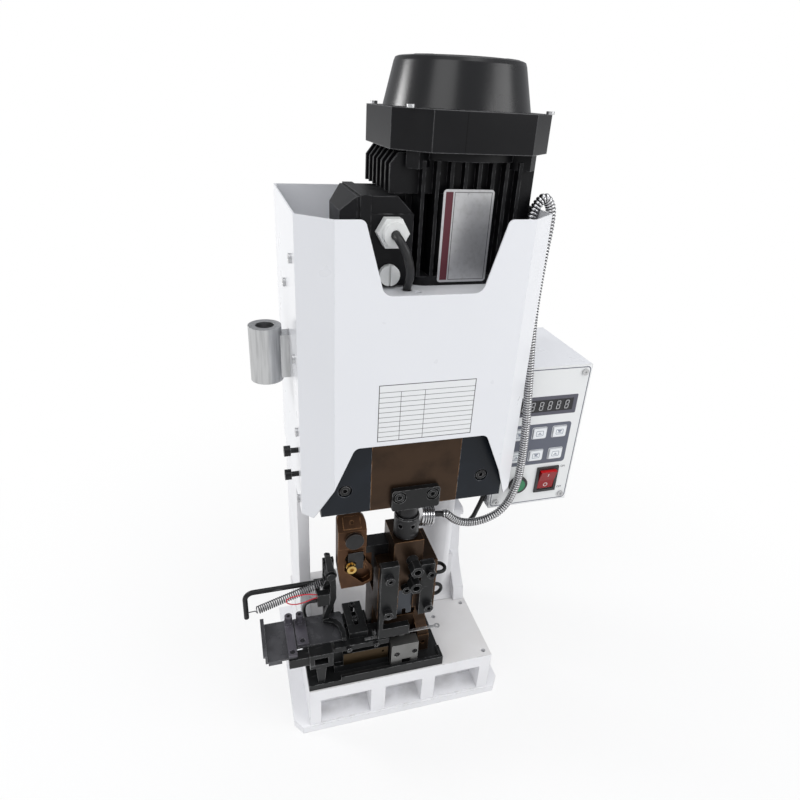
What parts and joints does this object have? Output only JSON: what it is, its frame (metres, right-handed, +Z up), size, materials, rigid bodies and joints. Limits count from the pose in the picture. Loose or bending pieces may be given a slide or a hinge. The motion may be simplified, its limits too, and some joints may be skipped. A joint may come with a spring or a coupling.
{
  "type": "terminal crimping machine",
  "caption": "Bench press for crimping terminals: motor on top, folded cover, ram over a side-feed applicator, control box, reel sleeve and a lamp on a metal hose.",
  "frame": {"origin": "underside of the base, straight below the axis of the ram", "axes": "+X to the right seen from the front, +Y to the back, +Z up along the ram axis"},
  "size_m": [0.3762, 0.185, 0.675],
  "materials": {
    "white_paint": "smooth white enamel",
    "cast_white": "white paint on cast iron",
    "machined_grey": "machined grey iron",
    "blue_black": "satin blue-black plate",
    "black_oxide": "black oxide steel",
    "bronze_brown": "brown oxide steel with bright edges",
    "motor_black": "satin black paint on aluminium",
    "zinc": "zinc plated",
    "steel": "ground steel",
    "bright": "bright metal",
    "sleeve_alu": "brushed aluminium",
    "brass": "machined brass",
    "white_plastic": "white nylon",
    "black_plastic": "black plastic",
    "panel_white": "white panel film",
    "display_black": "dark display window",
    "key_white": "white key film",
    "green_plastic": "green plastic",
    "red_plastic": "red plastic",
    "red_wire": "red insulation",
    "rubber": "black cable sheath",
    "spring_steel": "oiled spring steel"
  },
  "bodies": {
    "frame": {"base_casting": "cast_white", "left_column": "cast_white", "right_column": "cast_white", "head_casting": "machined_grey", "ram_guide_plates": "blue_black", "socket_screws": "black_oxide", "front_cover": "white_paint", "rear_cover": "white_paint", "pan_head_screws": "zinc", "motor_deck": "white_paint", "motor_body": "motor_black", "motor_band": "motor_black", "fan_cover": "motor_black", "terminal_box": "motor_black", "terminal_box_lid": "motor_black", "box_fittings": "white_plastic", "cables": "rubber", "nameplate": "sleeve_alu", "shaft_bearings": "brass", "reel_arm_sleeve": "sleeve_alu", "control_box": "white_paint", "control_panel": "panel_white", "display_window": "display_black", "switch_bezels": "black_plastic", "side_brackets": "zinc", "lamp_hose": "bright", "lamp_head": "bright", "applicator_base": "black_oxide", "applicator_frame": "bronze_brown", "applicator_guides": "black_oxide", "anvil_block": "steel", "feed_track": "black_oxide", "strip_guide": "black_oxide", "feed_plate": "black_oxide", "clamp_bars": "black_oxide", "terminal_strip": "zinc", "feed_spring": "spring_steel", "wire_forms": "black_oxide", "sensor_wire": "red_wire"},
    "rotor": {"motor_rotor": "steel"},
    "crank": {"crank_shaft": "steel", "worm_wheel": "brass"},
    "ram": {"press_ram": "bronze_brown", "ram_retainer": "black_oxide", "ram_fasteners": "black_oxide", "ram_post": "black_oxide", "applicator_ram": "bronze_brown", "crimpers": "steel", "feed_cam": "bronze_brown"},
    "feed": {"feed_lever": "black_oxide"},
    "dial": {"adjusting_dial": "black_oxide"},
    "knob": {"brass_knob": "brass"},
    "green_button_body": {"green_button": "green_plastic"},
    "rocker": {"rocker_switch": "red_plastic"},
    "key_body_1": {"key_1": "key_white"},
    "key_body_2": {"key_2": "key_white"},
    "key_body_3": {"key_3": "key_white"},
    "key_body_4": {"key_4": "key_white"},
    "key_body_5": {"key_5": "key_white"},
    "key_body_6": {"key_6": "key_white"}
  },
  "joints": [
    {"name": "motor_spin", "type": "hinge", "parent": "frame", "child": "rotor", "pos_m": [0.042, 0.068, 0.55], "axis": [0, 0, 1], "range_deg": [0, 3600]},
    {"name": "crank_turn", "type": "hinge", "parent": "frame", "child": "crank", "pos_m": [0, 0.068, 0.44], "axis": [0, 1, 0], "range_deg": [0, 180]},
    {"name": "ram_slide", "type": "slide", "parent": "frame", "child": "ram", "axis": [0, 0, 1], "range_m": [-0.03, 0]},
    {"name": "feed_swing", "type": "hinge", "parent": "frame", "child": "feed", "pos_m": [-0.076, 0.0175, 0.184], "axis": [0, 1, 0], "range_deg": [0, 9.5], "deforming": ["feed_spring"]},
    {"name": "dial_turn", "type": "hinge", "parent": "ram", "child": "dial", "pos_m": [0, 0, 0.256], "axis": [0, 0, 1], "range_deg": [-180, 180]},
    {"name": "knob_turn", "type": "hinge", "parent": "ram", "child": "knob", "pos_m": [-0.0575, 0, 0.207], "axis": [0, 1, 0], "range_deg": [-180, 180]},
    {"name": "green_press", "type": "slide", "parent": "frame", "child": "green_button_body", "axis": [0, 1, 0], "range_m": [0, 0.003], "stiffness_N_per_m": 400, "springref_m": -0.001},
    {"name": "rocker_tip", "type": "hinge", "parent": "frame", "child": "rocker", "pos_m": [0.1765, 0.037, 0.26275], "axis": [1, 0, 0], "range_deg": [0, 12]},
    {"name": "key_press_1", "type": "slide", "parent": "frame", "child": "key_body_1", "axis": [0, 1, 0], "range_m": [0, 0.0008], "stiffness_N_per_m": 600, "springref_m": -0.0005},
    {"name": "key_press_2", "type": "slide", "parent": "frame", "child": "key_body_2", "axis": [0, 1, 0], "range_m": [0, 0.0008], "stiffness_N_per_m": 600, "springref_m": -0.0005},
    {"name": "key_press_3", "type": "slide", "parent": "frame", "child": "key_body_3", "axis": [0, 1, 0], "range_m": [0, 0.0008], "stiffness_N_per_m": 600, "springref_m": -0.0005},
    {"name": "key_press_4", "type": "slide", "parent": "frame", "child": "key_body_4", "axis": [0, 1, 0], "range_m": [0, 0.0008], "stiffness_N_per_m": 600, "springref_m": -0.0005},
    {"name": "key_press_5", "type": "slide", "parent": "frame", "child": "key_body_5", "axis": [0, 1, 0], "range_m": [0, 0.0008], "stiffness_N_per_m": 600, "springref_m": -0.0005},
    {"name": "key_press_6", "type": "slide", "parent": "frame", "child": "key_body_6", "axis": [0, 1, 0], "range_m": [0, 0.0008], "stiffness_N_per_m": 600, "springref_m": -0.0005}
  ],
  "couplings": [
    {"joint": "crank_turn", "follows": "motor_spin", "ratio": 0.05},
    {"joint": "ram_slide", "follows": "motor_spin", "m_per_rad": -0.00047746},
    {"joint": "feed_swing", "follows": "motor_spin", "ratio": 0.0026389}
  ]
}
